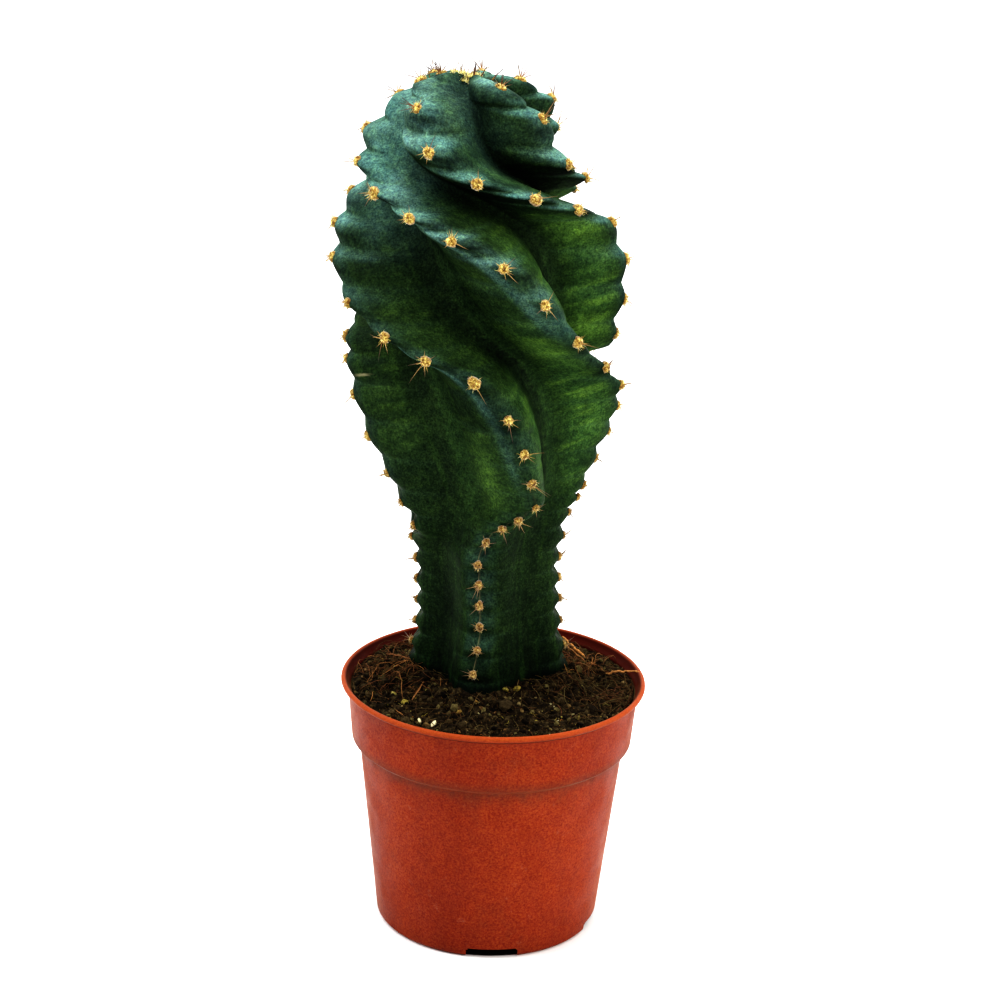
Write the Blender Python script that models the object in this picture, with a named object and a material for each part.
"""A spiral cactus in its plastic pot, in metres, +Z up.

The cactus is a columnar kind whose ribs wind round its stem. It grew straight and thin at
first, and then swelled into a wide twisted body with wing-like ribs. The origin is on the
surface that the pot stands on, under the middle of the whole plant, and the front is -Y.
Angles are in degrees from the front, and grow towards +X.
"""
import math

import bmesh
import bpy
import numpy as np
from mathutils import Matrix, Vector

# The pot stands a little off the origin, because the plant leans past its rim
POT_X = 0.0045
POT_Y = -0.0035

# Pot: a thin moulded cup with a rolled lip, a wide band under it and a recessed floor
POT_SEGMENTS = 64
POT_WALL = 0.0011
RIM_RADIUS = 0.060
RIM_HEIGHT = 0.1025
LIP_RADIUS = 0.0011
BAND_TOP = Vector((0.0572, 0.0990))
BAND_BOTTOM = Vector((0.0555, 0.0780))
BAND_STEP = Vector((0.0525, 0.0758))
FOOT_TOP = Vector((0.0447, 0.0014))
FOOT_RADIUS = 0.0434
FOOT_WIDTH = 0.0014
FLOOR_UNDERSIDE = 0.0042
FLOOR_THICKNESS = 0.0012
DRAIN_NOTCH_ANGLES = (4, 76, 184, 256)
DRAIN_NOTCH_WIDTH = 0.0205
DRAIN_NOTCH_HEIGHT = 0.0040
DRAIN_NOTCH_THROUGH = 0.012
LIP_TURNS = (-60, 0, 50, 100, 150)
DRAIN_HOLES = 5
DRAIN_HOLE_SIDES = 12
DRAIN_HOLE_RADIUS = 0.0038
DRAIN_HOLE_CIRCLE = 0.026

# Soil: fills the pot to just under the lip and is heaped up a little round the stem
GAP = 0.0004
SOIL_AT_WALL = 0.0968
SOIL_AT_STEM = 0.1046
SOIL_RINGS = 7
SOIL_SAG = 0.8
SOIL_ROUGHNESS = 0.0009
# Lumps of the soil's surface: waves per metre along X and Y, start and strength
SOIL_LUMPS = ((410, 350, 1.7, 0.5), (410, -350, 0.9, 0.5), (820, -610, 0.0, 0.6), (530, 990, 3.6, 0.5))
# The soil's hole follows this many of the stem's rows, and clears its corners by this many degrees
HOLE_ROWS = 3
CORNER_ROOM = (-2, 0, 2)

# Cactus: the heights of the stem's foot in the soil, and of the crown
STEM_FOOT = 0.080
CROWN = 0.3330
CROWN_HOLLOW = 0.0035

# Each list below gives a value at some heights, and smooth curves run through them.
# The plant's axis is measured from the pot's: it stands behind it and leans to the left.
AXIS_BACK = 0.0085
AXIS_RIGHT = ((0.080, -0.002), (0.130, -0.0030), (0.165, -0.0045), (0.180, -0.0043),
              (0.200, -0.0058), (0.235, -0.0094), (0.265, -0.0101), (0.290, -0.0140),
              (0.308, -0.0160), (0.322, -0.0140), (0.333, -0.0150))
CREST_RADIUS = ((0.080, 0.027), (0.095, 0.032), (0.105, 0.0318), (0.118, 0.0294), (0.130, 0.0281),
                (0.147, 0.0279), (0.158, 0.0296), (0.168, 0.0315), (0.174, 0.035), (0.188, 0.0412),
                (0.208, 0.0483), (0.225, 0.0505), (0.245, 0.0522), (0.262, 0.0548), (0.276, 0.0528),
                (0.290, 0.0455), (0.305, 0.0398), (0.312, 0.0375), (0.319, 0.0325), (0.325, 0.0280),
                (0.330, 0.0185), (0.333, 0.006))
VALLEY_RADIUS = ((0.080, 0.021), (0.105, 0.0225), (0.130, 0.0205), (0.158, 0.0215), (0.180, 0.0240),
                 (0.215, 0.0270), (0.262, 0.0290), (0.285, 0.0240), (0.300, 0.0195), (0.312, 0.0165),
                 (0.325, 0.0105), (0.333, 0.0025))
RIB_SHARPNESS = ((0.080, 1.1), (0.160, 1.15), (0.175, 1.7), (0.200, 1.7), (0.265, 1.5), (0.285, 1.2),
                 (0.305, 0.85), (0.333, 0.65))
# The valley before the second rib is filled out near the crown
FILLED_VALLEY = ((0.080, 0.0), (0.292, 0.0), (0.306, 0.0085), (0.320, 0.0095), (0.333, 0.0015))

# The way each rib winds: its angle at some heights
RIB_TURNS = {
    "first": ((0.080, 88), (0.158, 90), (0.170, 93), (0.178, 98), (0.205, 98), (0.219, 88),
              (0.231, 68), (0.2454, 44), (0.2615, 26), (0.2748, 11), (0.2835, -9), (0.2892, -29),
              (0.2945, -51), (0.3027, -78), (0.3108, -99), (0.322, -115), (0.333, -132)),
    "second": ((0.080, 181), (0.160, 181), (0.180, 196), (0.200, 188), (0.213, 163),
               (0.224, 132), (0.231, 109), (0.238, 100), (0.250, 96), (0.266, 94), (0.281, 89),
               (0.2902, 59), (0.2962, 33), (0.3016, 6), (0.3108, -20), (0.3234, -42),
               (0.3299, -82), (0.333, -100)),
    "third": ((0.080, 271), (0.157, 271), (0.165, 294), (0.173, 291), (0.185, 287), (0.200, 281),
              (0.216, 273), (0.226, 269), (0.233, 262), (0.246, 226), (0.262, 188),
              (0.278, 152), (0.289, 121), (0.2952, 100), (0.3045, 67), (0.3207, 53), (0.333, 30)),
    "late": ((0.080, 311), (0.200, 320), (0.240, 270), (0.265, 228), (0.288, 184), (0.300, 146),
             (0.3108, 122), (0.3235, 106), (0.333, 92)),
    "fourth": ((0.080, 347), (0.112, 350), (0.130, 354), (0.156, 354), (0.1657, 360), (0.1722, 370),
               (0.1762, 380), (0.1812, 388), (0.1925, 383), (0.2058, 378), (0.219, 372), (0.233, 359),
               (0.2393, 340), (0.2455, 320), (0.254, 297), (0.266, 279), (0.278, 266),
               (0.288, 251), (0.300, 224), (0.312, 197), (0.333, 166)),
}
# How much further than the others two ribs stand out on the plant's right-hand side
EXTRA_REACH = {"first": ((0.193, 0.0), (0.206, 0.0022), (0.219, 0.0028), (0.229, 0.0010), (0.236, 0.0)),
               "second": ((0.222, 0.0), (0.229, 0.0040), (0.236, 0.0010), (0.252, 0.0012), (0.262, 0.0))}
# The late rib starts high up on the back, and stands out fully only near the crown
LATE_RIB_START = 0.278
LATE_RIB_FULL = 0.305
WIDEST_LOBE = 50

# Areoles: felt pads along the crests, each on a hump, with spines. A rib's areoles are counted
# from the lowest one up, and their heights follow a curve through these counts and heights.
AREOLE_HEIGHTS = {
    "first": ((0, 0.1138), (1, 0.1242), (5, 0.1590), (6, 0.1680), (7, 0.1735), (8, 0.1778), (9, 0.1888),
              (12, 0.2209), (14, 0.2454), (15, 0.2615), (16, 0.2748), (17, 0.2832), (19, 0.2944),
              (21, 0.3108), (22, 0.3220), (23, 0.3302)),
    "second": ((0, 0.1120), (6, 0.1630), (9, 0.1865), (12, 0.2110), (14, 0.2255), (15, 0.2365),
               (17, 0.2665), (18, 0.2812), (19, 0.2902), (21, 0.3016), (22, 0.3108), (23, 0.3234),
               (24, 0.3299), (25, 0.3319)),
    "third": ((0, 0.1135), (5, 0.1567), (7, 0.1743), (8, 0.1855), (9, 0.1990), (10, 0.2135), (11, 0.2260),
              (12, 0.2330), (14, 0.2510), (16, 0.2710), (18, 0.2870), (19, 0.2952), (20, 0.3045),
              (21, 0.3207), (22, 0.3302)),
    "late": ((0, 0.2995), (1, 0.3108), (2, 0.3233), (3, 0.3304)),
    "fourth": ((0, 0.1117), (2, 0.1305), (4, 0.1475), (5, 0.1560), (6, 0.1657), (7, 0.1722), (8, 0.1758),
               (9, 0.1812), (10, 0.1925), (12, 0.2190), (13, 0.2330), (15, 0.2455), (16, 0.2537),
               (17, 0.2665), (19, 0.2865), (22, 0.3145), (24, 0.3300)),
}
# The skin is notched between areoles: how deep, how near the upper areole's side the notch lies as a
# share of the way up, and how far it keeps to the crest
NOTCH_DEPTH = ((0.104, 0.0), (0.112, 0.0034), (0.160, 0.0035), (0.190, 0.0018), (0.260, 0.0024),
               (0.300, 0.0032), (0.322, 0.0034), (0.333, 0.0008))
NOTCH_PLACE = ((0.104, 0.57), (0.165, 0.55), (0.200, 0.50), (0.260, 0.42), (0.300, 0.36), (0.333, 0.36))
NOTCH_REACH = ((0.104, 9), (0.170, 9), (0.200, 5), (0.260, 3), (0.333, 3))
AREOLE_FOOT_RADIUS = 0.0024
AREOLE_TOP_RADIUS = 0.0013
AREOLE_PROUD = 0.0010
AREOLE_ROOT = 0.0024
AREOLE_SIDES = 4
AREOLE_TURN = 1.1
SPINES_ROUND = 3
SPINE_SIDES = 3
SPINE_ROOT = 0.0004
SPINE_LENGTH = 0.0066
SPINE_RADIUS = 0.00042
SPINE_SPREAD = 55

# How finely the cactus is divided: steps between rows up to a height, and each rib's columns as
# shares of the way to the valleys beside it
ROW_STEPS = ((0.104, 0.0080), (0.165, 0.0034), (0.318, 0.0032), (0.333, 0.0021))
COLUMN_SHARES = {"first": (-0.5, -0.18, 0.0, 0.18, 0.5, 1.0), "second": (-0.5, -0.18, 0.0, 0.18, 0.5, 1.0),
                 "third": (-0.5, -0.18, 0.0, 0.18, 0.5, 1.0), "late": (-0.4, 0.0, 0.4, 1.0),
                 "fourth": (-0.5, -0.18, 0.0, 0.18, 0.5, 1.0)}


def curve_through(keys, x):
    """Value at x of a smooth curve through the keys that never overshoots them."""
    xs = np.array([key[0] for key in keys], float)
    ys = np.array([key[1] for key in keys], float)
    steps = np.diff(xs)
    slopes = np.diff(ys) / steps
    bends = np.zeros(len(xs))
    same_way = slopes[:-1] * slopes[1:] > 0
    first, second = slopes[:-1][same_way], slopes[1:][same_way]
    bends[1:-1][same_way] = 2 * first * second / (first + second)
    bends[0], bends[-1] = slopes[0], slopes[-1]
    x = np.clip(np.asarray(x, float), xs[0], xs[-1])
    i = np.clip(np.searchsorted(xs, x, side="right") - 1, 0, len(steps) - 1)
    h = steps[i]
    t = (x - xs[i]) / h
    return (ys[i] * (1 + 2 * t) * (1 - t) ** 2 + bends[i] * h * t * (1 - t) ** 2
            + ys[i + 1] * t * t * (3 - 2 * t) + bends[i + 1] * h * t * t * (t - 1))


def smooth_step(low, high, x):
    t = np.clip((np.asarray(x, float) - low) / (high - low), 0, 1)
    return t * t * (3 - 2 * t)


RIBS = list(RIB_TURNS)


def rib_angle(rib, height):
    return curve_through(RIB_TURNS[rib], height)


def rib_strength(rib, height):
    if rib != "late":
        return np.ones_like(np.asarray(height, float))
    return smooth_step(LATE_RIB_START, LATE_RIB_FULL, height)


def rib_gaps(height):
    """Angles from each rib to the valleys on its two sides, as [rib][side]."""
    angles = [rib_angle(rib, height) for rib in RIBS]
    late = rib_strength("late", height)
    gaps = {}
    for n, rib in enumerate(RIBS):
        before = (angles[n] - angles[n - 1]) % 360 / 2
        after = (angles[(n + 1) % len(RIBS)] - angles[n]) % 360 / 2
        if rib == "third":
            wide = (angles[(n + 2) % len(RIBS)] - angles[n]) % 360 / 2
            after = wide + (after - wide) * late
        if rib == "fourth":
            wide = (angles[n] - angles[n - 2]) % 360 / 2
            before = wide + (before - wide) * late
        gaps[rib] = (np.minimum(before, WIDEST_LOBE), np.minimum(after, WIDEST_LOBE))
    return gaps


def crest_radius(rib, height):
    """Distance of a rib's crest from the plant's axis, ignoring the humps."""
    radius = curve_through(CREST_RADIUS, height)
    if rib in EXTRA_REACH:
        radius = radius + curve_through(EXTRA_REACH[rib], height)
    return radius


def plant_axis(height):
    return POT_X + curve_through(AXIS_RIGHT, height), POT_Y + AXIS_BACK


def crest_point(rib, height):
    """Point on a rib's crest, ignoring the humps."""
    angle = np.radians(rib_angle(rib, height))
    radius = crest_radius(rib, height)
    x, y = plant_axis(height)
    return np.stack((x + radius * np.sin(angle), y - radius * np.cos(angle), height + 0 * x), -1)


def areole_heights(rib):
    """Heights of a rib's areoles from the lowest one up."""
    keys = AREOLE_HEIGHTS[rib]
    return [float(curve_through(keys, n)) for n in range(keys[-1][0] + 1)]


AREOLES = {rib: areole_heights(rib) for rib in RIBS}


def hump(rib, height):
    """1 at an areole and 0 at the notch between it and the next."""
    marks = np.array([2 * AREOLES[rib][0] - AREOLES[rib][1]] + AREOLES[rib] + [CROWN + 0.004])
    height = np.clip(height, marks[0], marks[-1])
    i = np.clip(np.searchsorted(marks, height, side="right") - 1, 0, len(marks) - 2)
    phase = (height - marks[i]) / (marks[i + 1] - marks[i])
    place = curve_through(NOTCH_PLACE, height)
    phase = np.where(phase < place, 0.5 * phase / place, 1 - 0.5 * (1 - phase) / (1 - place))
    return 0.5 + 0.5 * np.cos(2 * np.pi * phase)


def skin_radius(angle, height):
    """Distance of the skin from the plant's axis, in a direction and at a height."""
    valley = curve_through(VALLEY_RADIUS, height)
    sharpness = curve_through(RIB_SHARPNESS, height)
    notch = curve_through(NOTCH_DEPTH, height)
    notch_reach = curve_through(NOTCH_REACH, height)
    radius = np.array(valley, float)
    gaps = rib_gaps(height)
    for rib in RIBS:
        away = (angle - rib_angle(rib, height) + 180) % 360 - 180
        reach = np.where(away < 0, gaps[rib][0], gaps[rib][1])
        t = np.clip(np.abs(away) / reach, 0, 1)
        lobe = np.cos(t * np.pi / 2) ** (2 * sharpness)
        humps = notch * (1 - hump(rib, height)) * lobe ** notch_reach
        radius = radius + rib_strength(rib, height) * ((crest_radius(rib, height) - valley) * lobe - humps)
        if rib == "second":
            beside = np.clip(-away / (2 * gaps[rib][0]), 0, 1)
            radius = radius + curve_through(FILLED_VALLEY, height) * np.sin(np.pi * beside) ** 2
    return radius


def skin_point(angle, height):
    """Point on the skin: valleys near the crown lie lower than the crests beside them."""
    radius = skin_radius(angle, height)
    crest = curve_through(CREST_RADIUS, height)
    sink = CROWN_HOLLOW * smooth_step(0.315, CROWN, height) * (1 - radius / np.maximum(crest, 1e-6))
    turn = np.radians(angle)
    x, y = plant_axis(height)
    return np.stack((x + radius * np.sin(turn), y - radius * np.cos(turn), height - sink), -1)


def column_angles(height):
    """Angles of the mesh's columns at a height, which follow the ribs."""
    angles = []
    for n, rib in enumerate(RIBS):
        here = float(rib_angle(rib, height))
        before = float(here - rib_angle(RIBS[n - 1], height)) % 360 / 2
        after = float(rib_angle(RIBS[(n + 1) % len(RIBS)], height) - here) % 360 / 2
        for share in COLUMN_SHARES[rib]:
            angles.append(here + share * (before if share < 0 else after))
    return np.array(angles)


def flat_sided_radius(angle, height):
    """Distance from the plant's axis to the straight sides between the mesh's columns."""
    corners = np.sort(column_angles(height) % 360)
    n = int(np.searchsorted(corners, angle % 360, side="right"))
    low, high = corners[n - 1], corners[n % len(corners)]
    span = math.radians((high - low) % 360)
    share = math.radians((angle - low) % 360)
    low_radius, high_radius = skin_radius(np.array((low, high)), height)
    sides = low_radius * math.sin(share) + high_radius * math.sin(span - share)
    return low_radius * high_radius * math.sin(span) / sides


def row_heights():
    heights = [STEM_FOOT]
    for top, step in ROW_STEPS:
        count = max(1, round((top - heights[-1]) / step))
        start = heights[-1]
        for n in range(count):
            heights.append(start + (top - start) * (n + 1) / count)
    return heights


def new_object(name, mesh_data, material):
    mesh = bpy.data.meshes.new(name)
    mesh_data.to_mesh(mesh)
    mesh_data.free()
    mesh.materials.append(material)
    thing = bpy.data.objects.new(name, mesh)
    bpy.context.scene.collection.objects.link(thing)
    return thing


def plain_material(name, colour, roughness):
    material = bpy.data.materials.new(name)
    material.use_nodes = True
    shader = material.node_tree.nodes["Principled BSDF"]
    shader.inputs["Base Color"].default_value = (*colour, 1.0)
    shader.inputs["Roughness"].default_value = roughness
    shader.inputs["Metallic"].default_value = 0.0
    return material


def closed_rings(rings):
    """A solid from rings of points with equal counts, closed by a fan at both ends."""
    solid = bmesh.new()
    rows = [[solid.verts.new(Vector(point)) for point in ring] for ring in rings]
    for low, high in zip(rows, rows[1:]):
        for n in range(len(low)):
            m = (n + 1) % len(low)
            solid.faces.new((low[n], low[m], high[m], high[n]))
    for row, outwards in ((rows[0], -1), (rows[-1], 1)):
        centre = solid.verts.new(sum((v.co for v in row), Vector()) / len(row))
        for n in range(len(row)):
            pair = (row[n], row[(n + 1) % len(row)])
            solid.faces.new((*pair[::outwards], centre))
    bmesh.ops.triangulate(solid, faces=solid.faces)
    return solid


def cactus_body(material):
    rings = []
    for height in row_heights():
        angles = column_angles(height)
        rings.append(skin_point(angles, np.full(len(angles), height)))
    return new_object("cactus", closed_rings(rings), material)


def cone(name, root, tip, root_radius, tip_radius, sides, material, turn=0.0):
    """A closed cone or cut cone from root to tip, whose round is a few flat sides."""
    solid = bmesh.new()
    length = (tip - root).length
    bmesh.ops.create_cone(solid, cap_ends=True, cap_tris=False, segments=sides, radius1=root_radius,
                          radius2=tip_radius, depth=length)
    upright = Matrix.Translation((0, 0, length / 2)) @ Matrix.Rotation(turn, 4, "Z")
    towards = (tip - root).to_track_quat("Z", "Y").to_matrix().to_4x4()
    bmesh.ops.transform(solid, matrix=Matrix.Translation(root) @ towards @ upright, verts=solid.verts)
    return new_object(name, solid, material)


def areole_frame(rib, height):
    """An areole's place and its outward, along-crest and sideways directions."""
    step = 0.0006
    angle = float(rib_angle(rib, height))
    place = Vector(skin_point(angle, height))
    higher = min(height + step, CROWN)
    above = Vector(crest_point(rib, higher))
    below = Vector(crest_point(rib, higher - 2 * step))
    along = (above - below).normalized()
    aside = Vector(skin_point(angle + 2, height)) - Vector(skin_point(angle - 2, height))
    aside = (aside - along * aside.dot(along)).normalized()
    outward = along.cross(aside)
    x, y = plant_axis(height)
    centre = Vector((float(x), y, height - 0.02))
    if outward.dot(place - centre) < 0:
        outward = -outward
    return place, outward.normalized(), along, aside


def areole(name, rib, height, spin, material):
    """One felt pad with its spines, as loose solids for the union."""
    place, outward, along, aside = areole_frame(rib, height)
    pieces = [cone(name + "_pad", place - outward * AREOLE_ROOT, place + outward * AREOLE_PROUD,
                   AREOLE_FOOT_RADIUS, AREOLE_TOP_RADIUS, AREOLE_SIDES, material, spin)]
    lean = math.radians(SPINE_SPREAD)
    for n in range(SPINES_ROUND):
        turn = spin + 2 * math.pi * n / SPINES_ROUND
        side = along * math.cos(turn) + aside * math.sin(turn)
        way = outward * math.cos(lean) + side * math.sin(lean)
        root = place + outward * SPINE_ROOT
        pieces.append(cone(f"{name}_spine_{n}", root, root + way * SPINE_LENGTH, SPINE_RADIUS, 0.0,
                           SPINE_SIDES, material))
    return pieces


def grow_areoles(body, material):
    """Joins every areole to the body with one union."""
    bunch = bpy.data.collections.new("areoles")
    bpy.context.scene.collection.children.link(bunch)
    for rib in RIBS:
        for n, height in enumerate(AREOLES[rib]):
            for piece in areole(f"{rib}_{n}", rib, height, AREOLE_TURN * n, material):
                bpy.context.scene.collection.objects.unlink(piece)
                bunch.objects.link(piece)
    union = body.modifiers.new("areoles", "BOOLEAN")
    union.operation = "UNION"
    union.operand_type = "COLLECTION"
    union.collection = bunch
    union.solver = "MANIFOLD"
    with bpy.context.temp_override(object=body, active_object=body):
        bpy.ops.object.modifier_apply(modifier=union.name)
    for piece in list(bunch.objects):
        bpy.data.objects.remove(piece)
    bpy.data.collections.remove(bunch)


def pot_outline():
    """The pot's section from the middle of its underside, up the outside and down the inside."""
    lip_middle = Vector((RIM_RADIUS - LIP_RADIUS, RIM_HEIGHT - LIP_RADIUS))
    points = [Vector((FOOT_RADIUS - FOOT_WIDTH, FLOOR_UNDERSIDE)), Vector((FOOT_RADIUS - FOOT_WIDTH, 0)),
              Vector((FOOT_RADIUS, 0)), FOOT_TOP, BAND_STEP, BAND_BOTTOM, BAND_TOP]
    for degrees in LIP_TURNS:
        turn = math.radians(degrees)
        points.append(lip_middle + LIP_RADIUS * Vector((math.cos(turn), math.sin(turn))))
    points += inner_wall()
    return points


def inner_wall():
    """The pot's inside from the lip down to its floor."""
    inwards = Vector((POT_WALL, 0))
    floor = FLOOR_UNDERSIDE + FLOOR_THICKNESS
    foot_share = (floor - FOOT_TOP.y) / (BAND_STEP.y - FOOT_TOP.y)
    corner = FOOT_TOP.lerp(BAND_STEP, foot_share) - inwards
    return [BAND_TOP - inwards, BAND_BOTTOM - inwards, BAND_STEP - inwards, corner]


def turned_ring(radius, height):
    ring = []
    for n in range(POT_SEGMENTS):
        turn = 2 * math.pi * n / POT_SEGMENTS
        ring.append((POT_X + radius * math.sin(turn), POT_Y - radius * math.cos(turn), height))
    return ring


def cut(body, cutter):
    """Takes a cutter out of a body and keeps the cutter only as a hidden guide."""
    difference = body.modifiers.new(cutter.name, "BOOLEAN")
    difference.operation = "DIFFERENCE"
    difference.object = cutter
    difference.solver = "MANIFOLD"
    cutter.hide_render = True
    cutter.display_type = "WIRE"


def pot(material):
    rings = [turned_ring(point.x, point.y) for point in pot_outline()]
    cup = new_object("pot", closed_rings(rings), material)
    for n, angle in enumerate(DRAIN_NOTCH_ANGLES):
        block = bmesh.new()
        bmesh.ops.create_cube(block, size=1.0)
        notch = new_object(f"notch_{n}", block, material)
        notch.scale = (DRAIN_NOTCH_WIDTH, DRAIN_NOTCH_THROUGH, DRAIN_NOTCH_HEIGHT * 2)
        turn = math.radians(angle)
        notch.location = (POT_X + FOOT_RADIUS * math.sin(turn), POT_Y - FOOT_RADIUS * math.cos(turn), 0)
        notch.rotation_euler = (0, 0, turn)
        cut(cup, notch)
    for n in range(DRAIN_HOLES):
        turn = 2 * math.pi * (n + 0.5) / DRAIN_HOLES
        middle = Vector((POT_X + DRAIN_HOLE_CIRCLE * math.sin(turn),
                         POT_Y - DRAIN_HOLE_CIRCLE * math.cos(turn), FLOOR_UNDERSIDE))
        rise = Vector((0, 0, FLOOR_UNDERSIDE))
        hole = cone(f"drain_{n}", middle - rise, middle + rise, DRAIN_HOLE_RADIUS, DRAIN_HOLE_RADIUS,
                    DRAIN_HOLE_SIDES, material)
        cut(cup, hole)
    return cup


def soil_height(x, y, share):
    """Height of the soil's surface, from its hole's edge, share 0, to the pot's wall, share 1."""
    heap = SOIL_AT_STEM + (SOIL_AT_WALL - SOIL_AT_STEM) * share ** SOIL_SAG
    lumps = sum(strength * math.sin(x_wave * x + y_wave * y + start)
                for x_wave, y_wave, start, strength in SOIL_LUMPS)
    return heap + SOIL_ROUGHNESS * lumps * math.sin(math.pi * (0.15 + 0.85 * share))


def soil(material):
    """Soil in the pot, with a plain hole that the stem stands in."""
    angles = [2 * math.pi * n / POT_SEGMENTS for n in range(POT_SEGMENTS)]
    surface = []
    wall = inner_wall()
    wall_share = (SOIL_AT_WALL - wall[1].y) / (wall[0].y - wall[1].y)
    top = wall[1].lerp(wall[0], wall_share)
    edge_radius = top.x - GAP

    def stem_edge(turn, height):
        near = [flat_sided_radius(math.degrees(turn) + aside, height) for aside in CORNER_ROOM]
        radius = max(near) + GAP
        x, y = plant_axis(height)
        return Vector((x + radius * math.sin(turn), y - radius * math.cos(turn), height))

    def wall_point(turn, radius, height):
        return Vector((POT_X + radius * math.sin(turn), POT_Y - radius * math.cos(turn), height))

    surface.append([stem_edge(turn, STEM_FOOT) - Vector((0, 0, GAP)) for turn in angles])
    for height in row_heights()[1:HOLE_ROWS]:
        surface.append([stem_edge(turn, height) for turn in angles])
    for ring in range(SOIL_RINGS + 1):
        share = ring / SOIL_RINGS
        row = []
        for turn in angles:
            inner = stem_edge(turn, SOIL_AT_STEM)
            outer = wall_point(turn, edge_radius, SOIL_AT_WALL)
            x = inner.x + (outer.x - inner.x) * share
            y = inner.y + (outer.y - inner.y) * share
            row.append(Vector((x, y, soil_height(x, y, share))))
        surface.append(row)
    floor = wall[3].y + GAP
    for point in (wall[1], wall[2], Vector((wall[3].x, floor))):
        surface.append([wall_point(turn, point.x - GAP, point.y) for turn in angles])
    body = closed_rings(surface)
    bmesh.ops.recalc_face_normals(body, faces=body.faces)
    return new_object("soil", body, material)


def clear_scene():
    for thing in list(bpy.data.objects):
        bpy.data.objects.remove(thing)


def main():
    clear_scene()
    skin = plain_material("cactus_skin", (0.035, 0.13, 0.055), 0.5)
    terracotta = plain_material("terracotta_plastic", (0.55, 0.11, 0.035), 0.5)
    peat = plain_material("peat", (0.045, 0.028, 0.016), 0.95)
    plant = cactus_body(skin)
    grow_areoles(plant, skin)
    cup = pot(terracotta)
    fill = soil(peat)
    for thing in (plant, cup, fill):
        thing.data.shade_smooth()
        thing.data.set_sharp_from_angle(angle=math.radians(40))


main()
